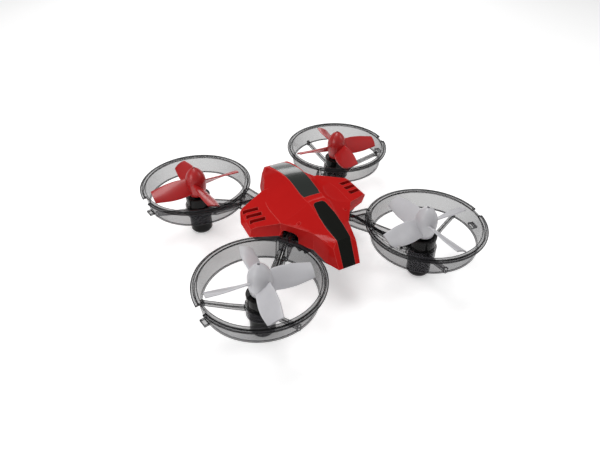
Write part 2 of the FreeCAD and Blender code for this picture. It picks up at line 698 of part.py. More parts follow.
def canopy_parts():
    outer = canopy_form(0.0, CANOPY_Z)
    under_skin = canopy_form(SKIN_T, CANOPY_Z - 2)
    inner = canopy_form(SHELL_T + 0.35, CANOPY_Z - 2)
    skin = outer.cut(under_skin)
    shell = outer.cut(inner)
    strip = skin.common(strip_zone(0))
    panel = skin.common(panel_zone(0))
    shell = cut(shell, [skin.common(strip_zone(SKIN_GAP)), skin.common(panel_zone(SKIN_GAP))])
    shell = cut(shell, vent_slots() + arm_arches() + plug_pockets())
    pips = [Part.makeSphere(PIP_R, Vector(side * PIP[0], PIP[1], surface_z(outer, *PIP) - PIP_R * 0.45))
            for side in (-1, 1)]
    return fuse([shell] + pips), strip, panel


# ---------------------------------------------------------------- chassis tray
TRAY_OUTLINE = [(4.4, BUTTON_Y - 7.5), (5.6, BUTTON_Y - 5.0), (6.0, BUTTON_Y + 1.0),
                (BAY_X + 1.0, -BAY_Y - 0.4), (BAY_X + 5.2, -10.6), (14.2, -6.8), (20.0, -3.4),
                (22.6, -1.6), (22.8, 4.6), (20.8, 6.6), (BAY_X + 5.6, 10.4),
                (BAY_X + 1.8, BAY_Y + 2.6), (7.2, 22.0), (5.8, 24.0)]


def shrunk(outline, amount):
    """Draw a right-hand outline in towards the middle line and towards its own centre."""
    ys = [y for _, y in outline]
    centre = (min(ys) + max(ys)) / 2
    half = (max(ys) - min(ys)) / 2
    return [(x - amount, centre + (y - centre) * (half - amount) / half) for x, y in outline]


def tray():
    outer = plan_plate(both_sides(TRAY_OUTLINE), TRAY_BOTTOM, TRAY_TOP)
    pan = plan_plate(both_sides(shrunk(TRAY_OUTLINE, TRAY_WALL)), FLOOR_TOP, TRAY_TOP + 1)
    shape = outer.cut(pan)
    rails = []
    for side in (-1, 1):
        low = TRAY_BOTTOM - RAIL_H
        upright = sorted((side * (DOOR_X + RUN_GAP * 2), side * (DOOR_X + 1.3)))
        lip = sorted((side * (DOOR_X - RAIL_LIP), side * (DOOR_X + 1.3)))
        rails.append(block(upright[0], upright[1], -BAY_Y, BAY_Y + 1, low, TRAY_BOTTOM))
        rails.append(block(lip[0], lip[1], -BAY_Y, BAY_Y + 1, low, low + 0.5))
    stop = block(-DOOR_X, DOOR_X, STOP_Y, STOP_Y + STOP_T, TRAY_BOTTOM - RAIL_H, TRAY_BOTTOM)
    posts = []
    holes = []
    for x in (-POST_X, POST_X):
        for y in (-POST_Y, POST_Y):
            posts.append(cylinder(POST_R, TRAY_BOTTOM, BOARD_Z, x, y))
            holes.append(cylinder(SCREW_R, BOARD_Z - 4, BOARD_Z + 1, x, y))
    for side in (-1, 1):
        for end in (-1, 1):
            angle = inward(-side, -end)
            boss = turned(cylinder(1.6, TRAY_BOTTOM, TONGUE_Z, SCREW_D), angle)
            hole = turned(cylinder(SCREW_R, TONGUE_Z - 2.4, TONGUE_Z + 1, SCREW_D), angle)
            posts.append(boss)
            holes.append(hole)
    for x in (-SWITCH_POST_X, SWITCH_POST_X):
        posts.append(cylinder(0.8, TRAY_BOTTOM, SWITCH_BOARD_Z, x, BUTTON_Y))
    shape = fuse([shape] + rails + [stop] + posts)
    bay = block(-BAY_X, BAY_X, -BAY_Y, BAY_Y, TRAY_BOTTOM - 0.1, FLOOR_TOP + 0.1)
    button_hole = cylinder(BUTTON_R + RUN_GAP, TRAY_BOTTOM - 1, FLOOR_TOP + 1, 0, BUTTON_Y)
    return cut(shape, [bay, button_hole] + holes)


def battery_door():
    top = TRAY_BOTTOM - RUN_GAP
    plate = block(-DOOR_X, DOOR_X, -BAY_Y - DOOR_LAP, BAY_Y + DOOR_LAP, top - DOOR_T, top)
    ridges = []
    for index in range(5):
        y = BAY_Y - 2.0 - index * 1.2
        ridges.append(block(-4.0, 4.0, y - 0.25, y + 0.25, top - DOOR_T - 0.35, top - DOOR_T / 2))
    return fuse([plate] + ridges)


# ---------------------------------------------------------------- electronics and battery
SWITCH_BODY = (4.4, 4.4, 1.6)
BUTTON_STEM_TOP = FLOOR_TOP + 0.75
SWITCH_Z = BUTTON_STEM_TOP + BUTTON_TRAVEL + 0.1
SWITCH_BOARD_Z = SWITCH_Z + SWITCH_BODY[2]
SWITCH_POST_X = 4.0


def circuit_board():
    half_x, half_y = BOARD_W / 2, BOARD_L / 2
    shape = block(-half_x, half_x, -half_y, half_y, BOARD_Z, BOARD_TOP)
    corner = [e for e in shape.Edges if abs(e.BoundBox.ZLength - BOARD_T) < 1e-6]
    shape = shape.makeFillet(1.2, corner)
    holes = [cylinder(SCREW_R + FIT_GAP, BOARD_Z - 1, BOARD_TOP + 1, x, y)
             for x in (-POST_X, POST_X) for y in (-POST_Y, POST_Y)]
    return cut(shape, holes)


def centred(x, y, size, z_low):
    return block(x - size[0] / 2, x + size[0] / 2, y - size[1] / 2, y + size[1] / 2,
                 z_low, z_low + size[2])


def board_chips():
    chips = [centred(0, 1.5, (5.0, 5.0, 0.9), BOARD_TOP), centred(0, 7.4, (3.0, 3.0, 0.9), BOARD_TOP)]
    for x in (-6.2, 6.2):
        for y in (-1.2, 1.2):
            chips.append(centred(x, y, (1.6, 1.4, 0.9), BOARD_TOP))
    return Part.makeCompound(chips)


def radio_shield():
    can = centred(0, -4.6, (6.0, 5.0, 1.6), BOARD_TOP)
    edges = [e for e in can.Edges if abs(e.BoundBox.ZLength - 1.6) < 1e-6]
    return can.makeFillet(0.5, edges)


def battery_socket():
    return centred(0, -BOARD_L / 2 + 2.2, (4.6, 3.6, 2.2), BOARD_TOP)


def battery_plug():
    return centred(0, -BOARD_L / 2 + 0.4 - 1.7, (4.2, 3.4, 1.8), BOARD_TOP + 0.2)


def battery():
    cell = centred(0, 0, (BATTERY_W, BATTERY_L, BATTERY_H), BATTERY_Z)
    edges = [e for e in cell.Edges if abs(e.BoundBox.YLength - BATTERY_L) < 1e-6]
    return cell.makeFillet(1.6, edges)


def battery_leads():
    z = BATTERY_Z + BATTERY_H - 1.2
    front = -BATTERY_L / 2
    plug_front = -BOARD_L / 2 + 0.4 - 3.4
    turn_y = plug_front - 2.4
    leads = []
    for x in (-0.7, 0.7):
        route = [(x, front, z), (x, turn_y, z), (x, turn_y, BOARD_TOP + 1.1),
                 (x, plug_front, BOARD_TOP + 1.1)]
        leads.append(tube(route, LEAD_R, (1.0, 1.0)))
    return Part.makeCompound(leads)


def antenna():
    z = BOARD_TOP + 0.35
    route = [(3.0, 9.0, z), (3.0, 16.0, z), (2.0, 22.5, z + 0.6)]
    return tube(route, 0.35, (6.0,))


def switch_board():
    return centred(0, BUTTON_Y, (10.4, 6.0, 0.8), SWITCH_BOARD_Z)


def power_switch():
    return centred(0, BUTTON_Y, SWITCH_BODY, SWITCH_Z)


def power_button():
    cap = cylinder(BUTTON_R, TRAY_BOTTOM - 0.7, FLOOR_TOP + 0.3, 0, BUTTON_Y)
    rim = [e for e in cap.Edges if abs(e.BoundBox.ZMax - TRAY_BOTTOM + 0.7) < 1e-6]
    cap = cap.makeFillet(0.3, rim)
    flange = cylinder(BUTTON_R + 0.6, FLOOR_TOP + RUN_GAP, FLOOR_TOP + 0.45, 0, BUTTON_Y)
    stem = cylinder(0.8, FLOOR_TOP, BUTTON_STEM_TOP, 0, BUTTON_Y)
    return fuse([cap, flange, stem])


def status_leds():
    base = SWITCH_BOARD_Z + 0.8
    lamps = []
    for x in (-3.2, 3.2):
        barrel = cylinder(0.9, base, base + 1.1, x, BUTTON_Y)
        dome = Part.makeSphere(0.9, Vector(x, BUTTON_Y, base + 1.1))
        lamps.append(fuse([barrel, dome]))
    return Part.makeCompound(lamps)


def screw(z_seat, length):
    """Small pan-head screw with a cross recess, on the Z axis."""
    shank = cylinder(SCREW_R, z_seat - length, z_seat + 0.1)
    head = cylinder(SCREW_HEAD_R, z_seat, z_seat + SCREW_HEAD_H)
    top = z_seat + SCREW_HEAD_H
    recess = [block(-0.6, 0.6, -0.12, 0.12, top - 0.3, top + 0.1),
              block(-0.12, 0.12, -0.6, 0.6, top - 0.3, top + 0.1)]
    return cut(fuse([shank, head]), recess)


def board_screws():
    one = screw(BOARD_TOP, SCREW_L)
    spots = [(x, y) for x in (-POST_X, POST_X) for y in (-POST_Y, POST_Y)]
    return Part.makeCompound([moved(one, x, y) for x, y in spots])


def duct_screws():
    one = moved(screw(TONGUE_Z + TONGUE_T, SCREW_L), SCREW_D, 0)
    return Part.makeCompound([turned(one, inward(-side, -end)) for side in (-1, 1) for end in (-1, 1)])


# ---------------------------------------------------------------- write the parts
shell, strip, panel = canopy_parts()
save("canopy_shell", shell)
save("windscreen_strip", strip)
save("spine_panel", panel)
save("chassis_tray", tray())
save("battery_door", battery_door())
save("battery_pack", battery())
save("battery_leads", battery_leads())
save("battery_plug", battery_plug())
save("battery_socket", battery_socket())
save("circuit_board", circuit_board())
save("board_chips", board_chips())
save("radio_shield", radio_shield())
save("receiver_antenna", antenna())
save("switch_board", switch_board())
save("power_switch", power_switch())
save("power_button", power_button())
save("status_leds", status_leds())
save("board_screws", board_screws())
save("duct_screws", duct_screws())

for corner, (side, end, counter_clockwise, blade_azimuth) in CORNERS.items():
    heading = inward(side, end)
    frame = duct(NOTCH_AZIMUTH[side] - heading)
    save("duct_" + corner, at_corner(frame, side, end, heading))
    save("motor_pod_" + corner, at_corner(pod(), side, end, heading))
    save("motor_" + corner, at_corner(motor_can(), side, end))
    save("end_bell_" + corner, at_corner(end_bell(), side, end, heading))
    save("motor_leads_" + corner, at_corner(motor_leads(), side, end, heading))
    save("motor_plug_" + corner, at_corner(motor_plug(), side, end, heading))
    save("shaft_" + corner, at_corner(shaft(), side, end))
    save("propeller_" + corner, at_corner(propeller(counter_clockwise), side, end, blade_azimuth))
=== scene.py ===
# %% [markdown]
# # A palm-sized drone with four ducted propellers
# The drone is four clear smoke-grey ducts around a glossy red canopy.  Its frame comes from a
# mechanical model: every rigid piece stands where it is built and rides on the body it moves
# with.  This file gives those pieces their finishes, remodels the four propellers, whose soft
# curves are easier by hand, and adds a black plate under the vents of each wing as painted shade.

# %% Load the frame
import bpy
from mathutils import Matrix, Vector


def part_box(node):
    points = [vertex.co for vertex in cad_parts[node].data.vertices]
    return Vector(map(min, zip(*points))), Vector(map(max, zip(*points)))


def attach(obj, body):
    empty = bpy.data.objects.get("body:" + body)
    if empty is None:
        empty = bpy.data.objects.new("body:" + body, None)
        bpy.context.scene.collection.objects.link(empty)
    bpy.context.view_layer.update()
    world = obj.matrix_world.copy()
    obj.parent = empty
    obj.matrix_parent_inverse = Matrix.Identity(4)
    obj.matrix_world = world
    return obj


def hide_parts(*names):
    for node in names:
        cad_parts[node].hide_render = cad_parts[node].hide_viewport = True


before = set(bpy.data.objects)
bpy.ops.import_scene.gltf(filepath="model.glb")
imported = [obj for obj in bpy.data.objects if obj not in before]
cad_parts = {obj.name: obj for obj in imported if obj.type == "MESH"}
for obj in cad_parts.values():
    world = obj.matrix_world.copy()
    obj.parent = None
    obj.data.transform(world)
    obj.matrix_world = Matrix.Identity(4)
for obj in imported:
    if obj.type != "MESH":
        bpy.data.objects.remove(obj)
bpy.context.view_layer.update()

import math

import bmesh
import bpy
from mathutils import Matrix, Vector

MM = 0.001
NEAR = 0.01             # millimetres that count as the same place

# %% [markdown]
# ## Colours and nodes
# Colours are noted as a designer writes them, in sRGB hex, and turned to the linear values that
# the renderer mixes.  Every material is a small tree of nodes, so one function adds a node,
# sets it and links it, and another starts a material with its shader.  A third finds the edges
# of a piece: where the bevelled direction differs from the surface's own, an edge is near.

# %% Helpers for materials
def linear(code):
    """An sRGB hex code as linear red, green, blue and a full alpha."""
    parts = [int(code[i:i + 2], 16) / 255 for i in (1, 3, 5)]
    return [c / 12.92 if c <= 0.04045 else ((c + 0.055) / 1.055) ** 2.4 for c in parts] + [1.0]


def add_node(tree, kind, settings, links):
    """Add a node, set its properties and sockets, link what feeds it, and return its outputs."""
    node = tree.nodes.new(kind)
    for name, value in settings.items():
        if isinstance(name, str) and hasattr(node, name):
            setattr(node, name, value)
        else:
            node.inputs[name].default_value = value
    for name, source in links.items():
        tree.links.new(source, node.inputs[name])
    return node.outputs


def start_material(name, **settings):
    """A material with one Principled shader; the settings go on the shader's own sockets."""
    finish = bpy.data.materials.new(name)
    finish.use_nodes = True
    tree = finish.node_tree
    shader = tree.nodes["Principled BSDF"]
    for socket, value in settings.items():
        shader.inputs[socket.replace("_", " ")].default_value = value
    place = add_node(tree, "ShaderNodeTexCoord", {}, {})["Object"]
    return finish, tree, shader.inputs, place


FLAT = 0.997            # cosine below which the eased direction has begun to turn
BEVEL_SAMPLES = 6


def eased_edges(tree, radius_mm, sharp=0.88):
    """The surface direction with its edges eased, and how near an edge is: 1 on it, 0 off it."""
    eased = add_node(tree, "ShaderNodeBevel", {"samples": BEVEL_SAMPLES, "Radius": radius_mm * MM}, {})
    surface = add_node(tree, "ShaderNodeNewGeometry", {}, {})
    agree = add_node(tree, "ShaderNodeVectorMath", {"operation": "DOT_PRODUCT"},
                     {0: eased["Normal"], 1: surface["Normal"]})
    edge = add_node(tree, "ShaderNodeMapRange", {"From Min": FLAT, "From Max": sharp},
                    {"Value": agree["Value"]})
    return eased["Normal"], edge["Result"]


# %% [markdown]
# ## Moulded plastics
# The canopy is ABS, injection moulded in a polished tool: a deep red with a clear gloss and the
# faint ripple, a millimetre or so across, that a cooling moulding shows as orange peel.  Where
# the moulding turns an edge the colour is paler: a painted highlight for the light a soft edge catches.
# The red's gloss is all in its thin clear coat, so that a steep side does not turn white.  The
# black and white pieces are from a duller, spark-eroded tool, whose real grain of 0.05 mm is too
# fine to see and is drawn at 0.3 to 0.4 mm.  One function makes them all from two shades of a
# colour, a roughness and the size of the texture.

# %% Moulded plastics
CLOUD_MM = 12           # how far apart the shades of one colour lie


def moulded(name, colour, shade, edge_highlight_colour, roughness, texture_mm, depth_mm=0.004, coat=0.0,
            edge_mm=0.16, gloss=0.3):
    """An injection-moulded plastic, clouded between two shades, with a painted highlight at its edges."""
    finish, tree, shader, place = start_material(
        name, IOR=1.53, Coat_Weight=coat, Coat_Roughness=0.05, Specular_IOR_Level=gloss)
    eased, edge = eased_edges(tree, edge_mm)
    cloud = add_node(tree, "ShaderNodeTexNoise", {"Scale": 1 / (CLOUD_MM * MM), "Detail": 3.0},
                     {"Vector": place})
    body = add_node(tree, "ShaderNodeMix", {"data_type": "RGBA", 6: linear(colour), 7: linear(shade)},
                    {0: cloud["Fac"]})
    # Painted highlight: near an edge the colour is mixed towards the paler edge colour.
    painted_edge_highlight = add_node(tree, "ShaderNodeMix", {"data_type": "RGBA", 7: linear(edge_highlight_colour)},
                    {0: edge, 6: body[2]})
    tree.links.new(painted_edge_highlight[2], shader["Base Color"])
    rub = add_node(tree, "ShaderNodeMapRange", {"To Min": roughness - 0.04, "To Max": roughness + 0.08},
                   {"Value": cloud["Fac"]})
    tree.links.new(rub["Result"], shader["Roughness"])
    texture = add_node(tree, "ShaderNodeTexNoise", {"Scale": 1 / (texture_mm * MM), "Detail": 2.0},
                       {"Vector": place})
    skin = add_node(tree, "ShaderNodeBump", {"Strength": 0.3, "Distance": depth_mm * MM},
                    {"Height": texture["Fac"], "Normal": eased})
    tree.links.new(skin["Normal"], shader["Normal"])
    return finish


# The fourth colour of each plastic is its painted edge highlight.
red_abs = moulded("red ABS, polished mould", "#CA211F", "#BF1C1B", "#EC625C", 0.16, 1.1, coat=0.12,
                  edge_mm=0.32, gloss=0.0)
screen = moulded("smoked acrylic windscreen", "#0C0E08", "#090B06", "#343931", 0.12, 1.1, coat=0.1)
panel = moulded("graphite ABS, satin mould", "#2A2F2C", "#252A27", "#6B716D", 0.2, 0.9, coat=0.3)
black_abs = moulded("black ABS, spark-eroded mould", "#1B1C1E", "#131416", "#3C3E40", 0.42, 0.4)
white_abs = moulded("white nylon, moulded", "#DAD8D2", "#CFCCC5", "#EEEDEA", 0.4, 0.4)
button_abs = moulded("black ABS key, matte", "#101113", "#17181A", "#3A3B3D", 0.5, 0.3)
chip_black = moulded("epoxy chip package", "#161616", "#1D1D1E", "#38383A", 0.55, 0.15)
print("moulded plastics:", [m.name for m in bpy.data.materials if m.name.count(",")])

# %% [markdown]
# ## Propeller nylon
# Small propellers are moulded in soft nylon so that they flex in a crash.  The front pair is
# pearl grey and the rear pair red, so that a pilot can tell nose from tail.  The plastic lets a
# little light in, which a touch of subsurface scattering gives, and flow lines run outwards
# from the hub.

# %% Propeller nylon
def nylon(name, colour, shade, scatter):
    """Soft moulded nylon with flow lines; scatter is how far red, green and blue travel in it."""
    finish, tree, shader, place = start_material(
        name, IOR=1.53, Subsurface_Weight=0.12, Subsurface_Radius=scatter, Subsurface_Scale=0.001,
        Coat_Weight=0.25, Coat_Roughness=0.15)
    eased = eased_edges(tree, 0.12)[0]
    flow = add_node(tree, "ShaderNodeTexNoise", {"Scale": 1 / (3.0 * MM), "Detail": 4.0},
                    {"Vector": place})
    body = add_node(tree, "ShaderNodeMix", {"data_type": "RGBA", 6: linear(colour), 7: linear(shade)},
                    {0: flow["Fac"]})
    tree.links.new(body[2], shader["Base Color"])
    rub = add_node(tree, "ShaderNodeMapRange", {"To Min": 0.3, "To Max": 0.42}, {"Value": flow["Fac"]})
    tree.links.new(rub["Result"], shader["Roughness"])
    skin = add_node(tree, "ShaderNodeBump", {"Strength": 0.2, "Distance": 0.01 * MM},
                    {"Height": flow["Fac"], "Normal": eased})
    tree.links.new(skin["Normal"], shader["Normal"])
    return finish


grey_nylon = nylon("pearl grey nylon", "#D4D3D6", "#C9C8CC", (0.6, 0.6, 0.7))
red_nylon = nylon("red nylon", "#C01F20", "#AE191B", (1.0, 0.2, 0.15))
print("propeller finishes:", grey_nylon.name, red_nylon.name)

# %% [markdown]
# ## Smoke-clear polycarbonate
# The ducts and motor pods are clear polycarbonate with a grey tint.  A thin wall of it takes
# about a third of the light at each face, and much more where it is seen edge-on: light runs
# along inside the sheet and is lost, so every edge of the moulding looks nearly black.  That dark
# edge is painted shade in the colour and the alpha; on the pods the edge colour is a little paler,
# a painted highlight.  The tint is in the alpha, which is thin on a wall and dense at its edges
# and at a glancing view.  The wall's own colour is dark, so that it shades what is behind it and
# adds no haze.

# %% Smoke-clear polycarbonate
def smoke_clear(name, tint, painted_edge_colour, thin, dense, edge_mm, gloss):
    """A tinted clear plastic: its cover is thin on a wall and dense along the edges, which carry a
    painted edge colour.
    """
    finish, tree, shader, place = start_material(
        name, IOR=1.58, Roughness=0.06, Specular_IOR_Level=gloss)
    eased, edge = eased_edges(tree, edge_mm, sharp=0.988)
    glance = add_node(tree, "ShaderNodeLayerWeight", {"Blend": 0.25}, {"Normal": eased})
    wall = add_node(tree, "ShaderNodeMapRange", {"To Min": thin, "To Max": 0.7},
                    {"Value": glance["Facing"]})
    cover = add_node(tree, "ShaderNodeMix", {"data_type": "FLOAT", 3: dense},
                     {0: edge, 2: wall["Result"]})
    tree.links.new(cover[0], shader["Alpha"])
    # Painted edge colour: painted shade on the ducts, a painted highlight on the pods.
    body = add_node(tree, "ShaderNodeMix", {"data_type": "RGBA", 6: linear(tint), 7: linear(painted_edge_colour)},
                    {0: edge})
    tree.links.new(body[2], shader["Base Color"])
    wave = add_node(tree, "ShaderNodeTexNoise", {"Scale": 1 / (2.5 * MM), "Detail": 1.0},
                    {"Vector": place})
    skin = add_node(tree, "ShaderNodeBump", {"Strength": 0.2, "Distance": 0.01 * MM},
                    {"Height": wave["Fac"], "Normal": eased})
    tree.links.new(skin["Normal"], shader["Normal"])
    return finish


# The third colour is the painted edge colour: dark on the duct, paler than the tint on the pod.
smoke_duct = smoke_clear("smoke polycarbonate duct", "#353438", "#020202",
                         thin=0.29, dense=1.0, edge_mm=0.62, gloss=0.08)
smoke_pod = smoke_clear("smoke polycarbonate pod", "#0B0A09", "#2A2827",
                        thin=0.85, dense=0.9, edge_mm=0.25, gloss=0.15)
print("clear plastics:", smoke_duct.name, smoke_pod.name)

# %% [markdown]
# ## Metals
# The motor cans are steel with a black electroless finish, the shafts and screws bare hardened
# steel, and the radio shield tinned sheet.  Turned and drawn metal carries fine scratches round
# its axis, so the roughness follows a pattern stretched along them.  The metals keep the
# shader's default index of refraction.

# %% Metals
def metal(name, colour, shade, low, high, stretch, line_mm, metallic=1.0):
    """A metal whose roughness runs from low to high along lines stretched by three factors."""
    finish, tree, shader, place = start_material(name, Metallic=metallic)
    eased = eased_edges(tree, 0.1)[0]
    spread = add_node(tree, "ShaderNodeMapping", {"Scale": stretch}, {"Vector": place})
    lines = add_node(tree, "ShaderNodeTexNoise", {"Scale": 1 / (line_mm * MM), "Detail": 4.0},
                     {"Vector": spread["Vector"]})
    body = add_node(tree, "ShaderNodeMix", {"data_type": "RGBA", 6: linear(colour), 7: linear(shade)},
                    {0: lines["Fac"]})
    tree.links.new(body[2], shader["Base Color"])
    rub = add_node(tree, "ShaderNodeMapRange", {"To Min": low, "To Max": high}, {"Value": lines["Fac"]})
    tree.links.new(rub["Result"], shader["Roughness"])
    skin = add_node(tree, "ShaderNodeBump", {"Strength": 0.15, "Distance": 0.003 * MM},
                    {"Height": lines["Fac"], "Normal": eased})
    tree.links.new(skin["Normal"], shader["Normal"])
    return finish


can_steel = metal("blackened steel motor can", "#202124", "#151617", 0.28, 0.42, (1, 1, 6), 0.6, 0.75)
shaft_steel = metal("ground steel shaft", "#C9CACC", "#A8A9AB", 0.15, 0.3, (1, 1, 10), 0.4)
screw_steel = metal("black zinc screw steel", "#4A4B4E", "#2F3032", 0.3, 0.5, (1, 1, 1), 0.4)
tin_plate = metal("tinned steel sheet", "#B9BABB", "#9FA0A1", 0.25, 0.45, (1, 8, 1), 0.8)
print("metals:", can_steel.name, shaft_steel.name, screw_steel.name, tin_plate.name)

# %% [markdown]
# ## Electronics
# The board is glass-fibre epoxy under green solder resist, whose copper tracks show as a raised
# pattern, drawn 1.4 mm apart because the real 0.3 mm would not show.  The battery is a lithium
# pouch in a blue shrink film with soft creases, the leads have silicone insulation, and the
# lamps are clear epoxy with a milky tint.

# %% Electronics finishes
def resist_board(name, colour, track, pitch_mm):
    """Circuit board under solder resist, with raised tracks at a pitch."""
    finish, tree, shader, place = start_material(name, IOR=1.5, Coat_Weight=0.3, Coat_Roughness=0.15)
    cells = add_node(tree, "ShaderNodeTexBrick", {
        "Scale": 1 / (pitch_mm * MM), "Mortar Size": 0.12, "Color1": linear(colour),
        "Color2": linear(colour), "Mortar": linear(track)}, {"Vector": place})
    tree.links.new(cells["Color"], shader["Base Color"])
    rub = add_node(tree, "ShaderNodeMapRange", {"To Min": 0.35, "To Max": 0.25}, {"Value": cells["Fac"]})
    tree.links.new(rub["Result"], shader["Roughness"])
    skin = add_node(tree, "ShaderNodeBump", {"Strength": 0.5, "Distance": 0.03 * MM},
                    {"Height": cells["Fac"]})
    tree.links.new(skin["Normal"], shader["Normal"])
    return finish


board_green = resist_board("solder resist on glass epoxy", "#14502E", "#2C7A48", 1.4)
film = moulded("shrink film on a battery pouch", "#24507E", "#1B3F66", "#4C78A6", 0.3, 2.4,
               depth_mm=0.08, edge_mm=0.4)
red_lead = moulded("red silicone insulation", "#B3201C", "#A01814", "#C03A34", 0.45, 0.5)
black_lead = moulded("black silicone insulation", "#1C1B1B", "#131212", "#2C2B2B", 0.45, 0.5)
lamp_epoxy = moulded("milky epoxy lamp", "#DDE4E6", "#CCD4D8", "#F2F5F6", 0.12, 0.6, coat=0.4)
print("electronics:", board_green.name, film.name, lamp_epoxy.name)

# %% [markdown]
# ## Give every piece of the frame its finish
# A piece is named for what it is, so the start of its name picks the material.  The longest
# match wins.

# %% Finishes on the frame
FINISHES = {
    "canopy_shell": red_abs, "windscreen_strip": screen, "spine_panel": panel,
    "chassis_tray": black_abs, "battery_door": black_abs, "battery_pack": film,
    "battery_leads": red_lead, "battery_plug": white_abs, "battery_socket": white_abs,
    "circuit_board": board_green, "board_chips": chip_black, "radio_shield": tin_plate,
    "receiver_antenna": black_lead, "switch_board": board_green, "power_switch": tin_plate,
    "power_button": button_abs, "status_leds": lamp_epoxy, "board_screws": screw_steel,
    "duct_screws": screw_steel, "duct": smoke_duct, "motor_pod": smoke_pod, "motor": can_steel,
    "end_bell": white_abs, "motor_leads": black_lead, "motor_plug": white_abs,
    "shaft": shaft_steel, "propeller_front": grey_nylon, "propeller_rear": red_nylon,
}
for name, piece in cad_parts.items():
    match = max((start for start in FINISHES if name.startswith(start)), key=len)
    for slot in piece.material_slots:
        slot.material = FINISHES[match]
print("finished frame pieces:", len(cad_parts))

# %% [markdown]
# ## Working by hand in edit mode
# The new pieces are modelled as one would with a mouse: a primitive is added, some of its
# points are picked by where they are, and they are moved, turned, scaled or extruded.  The
# operators act on whatever is selected, so each piece starts with nothing selected.

# %% Helpers for modelling
def start_fresh():
    """Leave edit mode and deselect everything."""
    if bpy.context.mode != "OBJECT":
        bpy.ops.object.mode_set(mode="OBJECT")
    for chosen in bpy.context.selected_objects:
        chosen.select_set(False)


def edit(name):
    """Name the new primitive and open it in edit mode with nothing picked."""
    piece = bpy.context.active_object
    piece.name = name
    piece.data.name = name
    bpy.ops.object.mode_set(mode="EDIT")
    return piece


def pick(test):
    """Select only the points whose place in millimetres passes the test."""
    bpy.ops.mesh.select_all(action="DESELECT")
    cage = bmesh.from_edit_mesh(bpy.context.edit_object.data)
    for corner in cage.verts:
        if test(corner.co / MM):
            corner.select_set(True)
    cage.select_flush(True)
    bmesh.update_edit_mesh(bpy.context.edit_object.data)


def finish_mesh(piece, smooth_angle=35):
    """Merge doubles, point the faces outwards, settle the object on the origin, shade it."""
    bpy.ops.object.mode_set(mode="EDIT")
    bpy.ops.mesh.select_all(action="SELECT")
    bpy.ops.mesh.remove_doubles(threshold=NEAR * MM)
    bpy.ops.mesh.normals_make_consistent(inside=False)
    bpy.ops.object.mode_set(mode="OBJECT")
    bpy.ops.object.transform_apply(location=True, rotation=True, scale=True)
    bpy.ops.object.shade_smooth_by_angle(angle=math.radians(smooth_angle))
    cage = bmesh.new()
    cage.from_mesh(piece.data)
    open_edges = sum(1 for edge in cage.edges if not edge.is_manifold)
    print(piece.name, "faces", len(cage.faces), "open edges", open_edges,
          "volume mm3", round(cage.calc_volume() / MM ** 3, 1))
    cage.free()


def apply_modifier(piece, kind, **settings):
    """Add a modifier, set it and apply it."""
    modifier = piece.modifiers.new(kind.lower(), kind)
    for name, value in settings.items():
        setattr(modifier, name, value)
    bpy.ops.object.modifier_apply(modifier=modifier.name)


# %% [markdown]
# ## Propellers
# Each propeller is one nylon moulding: a bullet-shaped spinner with a pocket under it, and four
# broad blades that twist from a steep root to a flat tip and end on a circle just inside the
# duct.  The spinner starts as a circle at its foot.  The circle is extruded up from ring to ring
# to the small hole at the tip, then inwards and up into the pocket, round the shaft's boss and
# to the bore.  Joining the bore's two loops closes it.

# %% Propeller hub
low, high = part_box("propeller_front_left")
HUB_LOW = low.z / MM
BLADE_R = (high.x - low.x) / MM / 2
# radius of each ring and its height above the hub's foot, in millimetres
HUB_RINGS = [(3.75, 1.2), (4.0, 2.6), (4.18, 4.2), (4.25, 5.4), (4.16, 6.8), (3.86, 8.2),
             (3.34, 9.45), (2.6, 10.55), (1.75, 11.4), (1.0, 11.95), (0.55, 12.2)]
HUB_FOOT, POCKET_WALL, POCKET_DEPTH, BOSS, BORE = 3.5, 0.8, 3.0, 1.5, 0.55
HUB_CORNERS = 64


def ring_up(radius, ring, height):
    """Extrude the picked loop by a height and scale it to the next radius."""
    bpy.ops.mesh.extrude_region_move(TRANSFORM_OT_translate={"value": (0, 0, height * MM)})
    share = ring / radius
    bpy.ops.transform.resize(value=(share, share, 1), center_override=(0, 0, 0))


start_fresh()
bpy.ops.mesh.primitive_circle_add(vertices=HUB_CORNERS, radius=HUB_FOOT * MM,
                                  location=(0, 0, HUB_LOW * MM))
hub = edit("propeller_hub")
bpy.ops.object.mode_set(mode="OBJECT")
bpy.ops.object.transform_apply(location=True)
bpy.ops.object.mode_set(mode="EDIT")
bpy.ops.mesh.select_all(action="SELECT")
radius, level = HUB_FOOT, 0.0
for ring, rise in HUB_RINGS:
    ring_up(radius, ring, rise - level)
    radius, level = ring, rise
pick(lambda place: place.z < HUB_LOW + NEAR)
radius = HUB_FOOT
for ring, rise in ((HUB_FOOT - POCKET_WALL, 0.0), (HUB_FOOT - POCKET_WALL, POCKET_DEPTH),
                   (BOSS, 0.0), (BOSS, -POCKET_DEPTH), (BORE, 0.0)):
    ring_up(radius, ring, rise)
    radius = ring
pick(lambda place: math.hypot(place.x, place.y) < BORE + NEAR)
bpy.ops.mesh.bridge_edge_loops()
bpy.ops.object.mode_set(mode="OBJECT")
finish_mesh(hub)

# %% [markdown]
# A blade could be lofted from sections, but a grid whose columns are scaled and turned one by
# one is the same thing by hand: the columns are the sections.  The rows are raised first, which
# gives every section its camber.  Solidify gives the blade its thickness and subdivision rounds
# its edges.  The finished blade is copied round by quarter turns.

# %% Propeller blades
SPAN_FROM, SPAN_TO = 2.4, BLADE_R + 1.0
BLADE_Z = HUB_LOW + 4.1
COLUMNS, ROWS = 10, 6
ROW_NEAR, COLUMN_NEAR = 0.02, 0.05      # how far a point may lie from its row or column
CAMBER, BLADE_THICK = 0.56, 0.62
# distance from the axis, chord in millimetres, pitch in degrees
SECTIONS = [(2.4, 7.0, 48.0), (7.8, 8.2, 41.0), (12.2, 8.0, 34.0), (19.5, 5.4, 26.0)]


def between(distance, column):
    """The chord or pitch at a distance from the axis, from the sections on either side."""
    for near, far in zip(SECTIONS, SECTIONS[1:]):
        if distance <= far[0] + NEAR:
            share = (distance - near[0]) / (far[0] - near[0])
            return near[column] + (far[column] - near[column]) * share
    return SECTIONS[-1][column]


